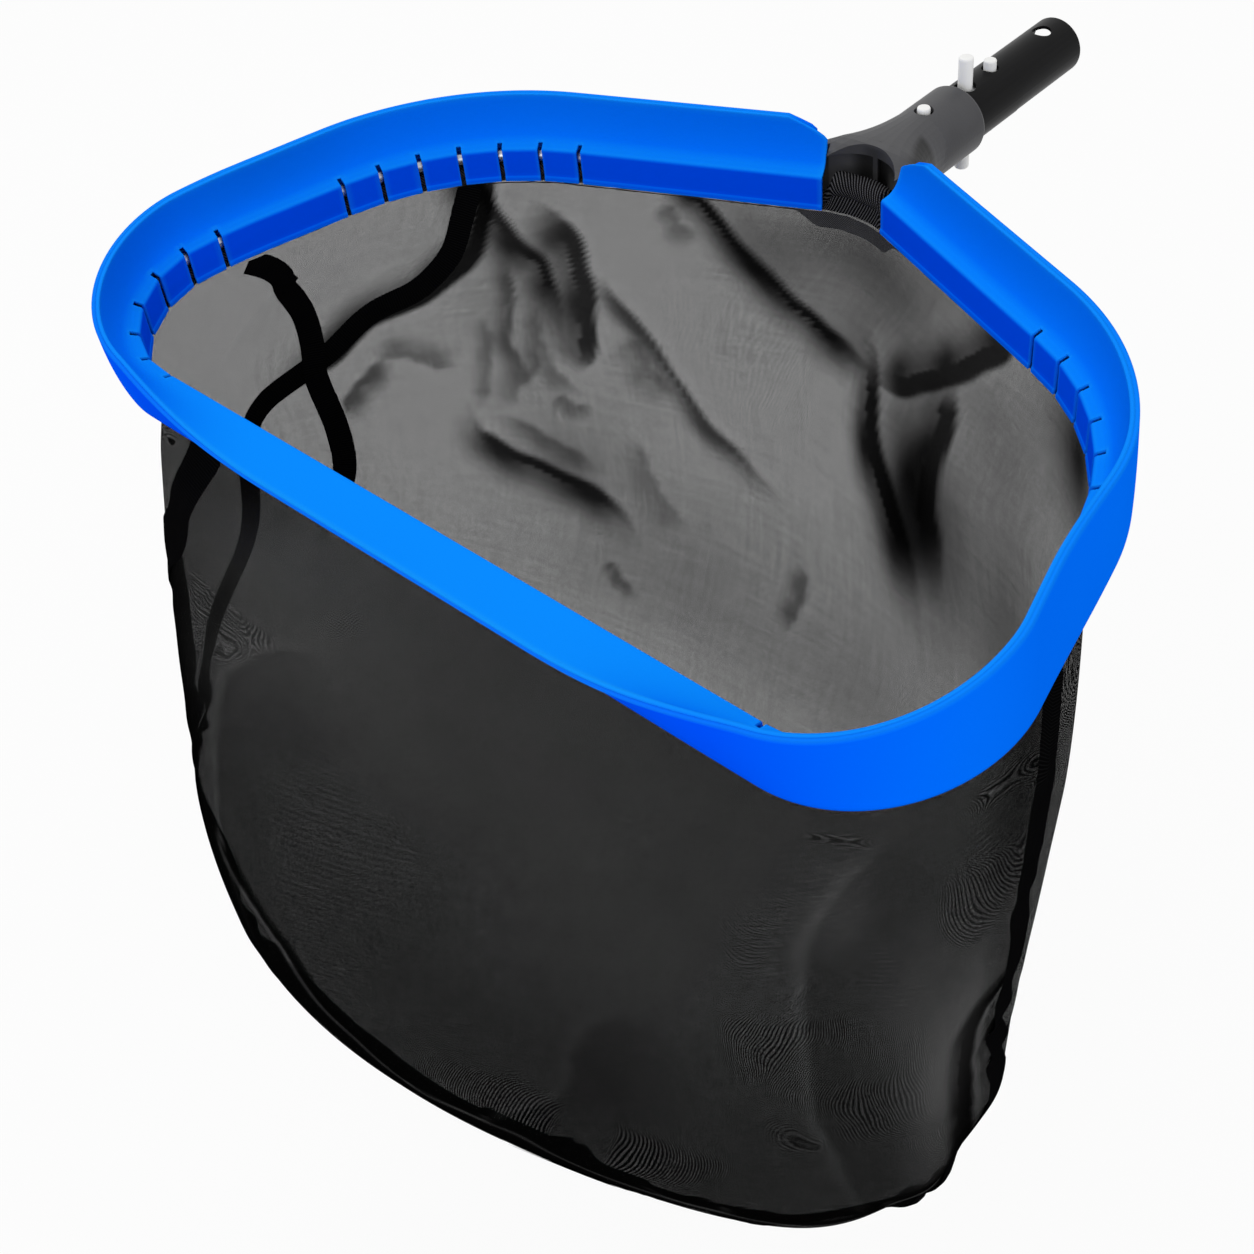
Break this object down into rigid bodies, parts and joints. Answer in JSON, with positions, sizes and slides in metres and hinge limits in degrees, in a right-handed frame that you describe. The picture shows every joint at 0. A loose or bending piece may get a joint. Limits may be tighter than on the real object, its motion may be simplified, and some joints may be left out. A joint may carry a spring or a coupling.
{
  "type": "pool leaf skimmer net",
  "caption": "Deep-bag pool leaf rake with a push-fit edge guard on a metal hoop, a forked yoke and a spigot tube with sprung lock pins and buttons for a pole.",
  "frame": {"origin": "centre of the spigot's free end", "axes": "+Y out along the pole, +Z out of the net's mouth, +X to the right seen from above with the pole at the top"},
  "size_m": [0.4785, 0.5233, 0.5017],
  "materials": {
    "yoke_plastic": "black glass-filled nylon, fine moulded grain",
    "tube_black": "black anodised, satin",
    "hoop_metal": "bright drawn rod",
    "screw_steel": "stainless",
    "guard_blue": "blue polyethylene moulding, satin",
    "spring_steel": "stainless spring strip",
    "button_white": "white nylon",
    "hem_fabric": "black woven twill binding",
    "net_mesh": "fine black polyester mesh",
    "tape_black": "black polyester seam tape"
  },
  "bodies": {
    "frame": {"yoke": "yoke_plastic", "handle_tube": "tube_black", "hoop": "hoop_metal", "hoop_screws": "screw_steel", "edge_guard": "guard_blue", "lock_clip_bow": "spring_steel", "keep_clip_bow": "spring_steel", "hem_roll": "hem_fabric", "hem_band": "hem_fabric", "net_front_panel": "net_mesh", "net_back_panel": "net_mesh", "seam_tape_left": "tape_black", "seam_tape_right": "tape_black", "seam_tape_bottom": "tape_black", "gusset_tape": "tape_black", "side_tape": "tape_black"},
    "lock_upper": {"lock_arm_upper": "spring_steel", "lock_pin_upper": "button_white", "squeeze_button_upper": "button_white"},
    "lock_lower": {"lock_arm_lower": "spring_steel", "lock_pin_lower": "button_white", "squeeze_button_lower": "button_white"},
    "keep_upper": {"keep_arm_upper": "spring_steel", "keep_button_upper": "button_white"},
    "keep_lower": {"keep_arm_lower": "spring_steel", "keep_button_lower": "button_white"}
  },
  "joints": [
    {"name": "lock_upper_press", "type": "hinge", "parent": "frame", "child": "lock_upper", "pos_m": [0, -0.036, 0.0116], "axis": [1, 0, 0], "range_deg": [0, 10.5], "stiffness_Nm_per_rad": 2.4, "springref_deg": -3.44},
    {"name": "lock_lower_press", "type": "hinge", "parent": "frame", "child": "lock_lower", "pos_m": [0, -0.036, -0.0116], "axis": [-1, 0, 0], "range_deg": [0, 10.5], "stiffness_Nm_per_rad": 2.4, "springref_deg": -3.44},
    {"name": "keep_upper_press", "type": "hinge", "parent": "frame", "child": "keep_upper", "pos_m": [0, -0.132, 0.0116], "axis": [-1, 0, 0], "range_deg": [0, 15.8], "stiffness_Nm_per_rad": 1, "springref_deg": -3.44},
    {"name": "keep_lower_press", "type": "hinge", "parent": "frame", "child": "keep_lower", "pos_m": [0, -0.132, -0.0116], "axis": [1, 0, 0], "range_deg": [0, 15.8], "stiffness_Nm_per_rad": 1, "springref_deg": -3.44}
  ]
}
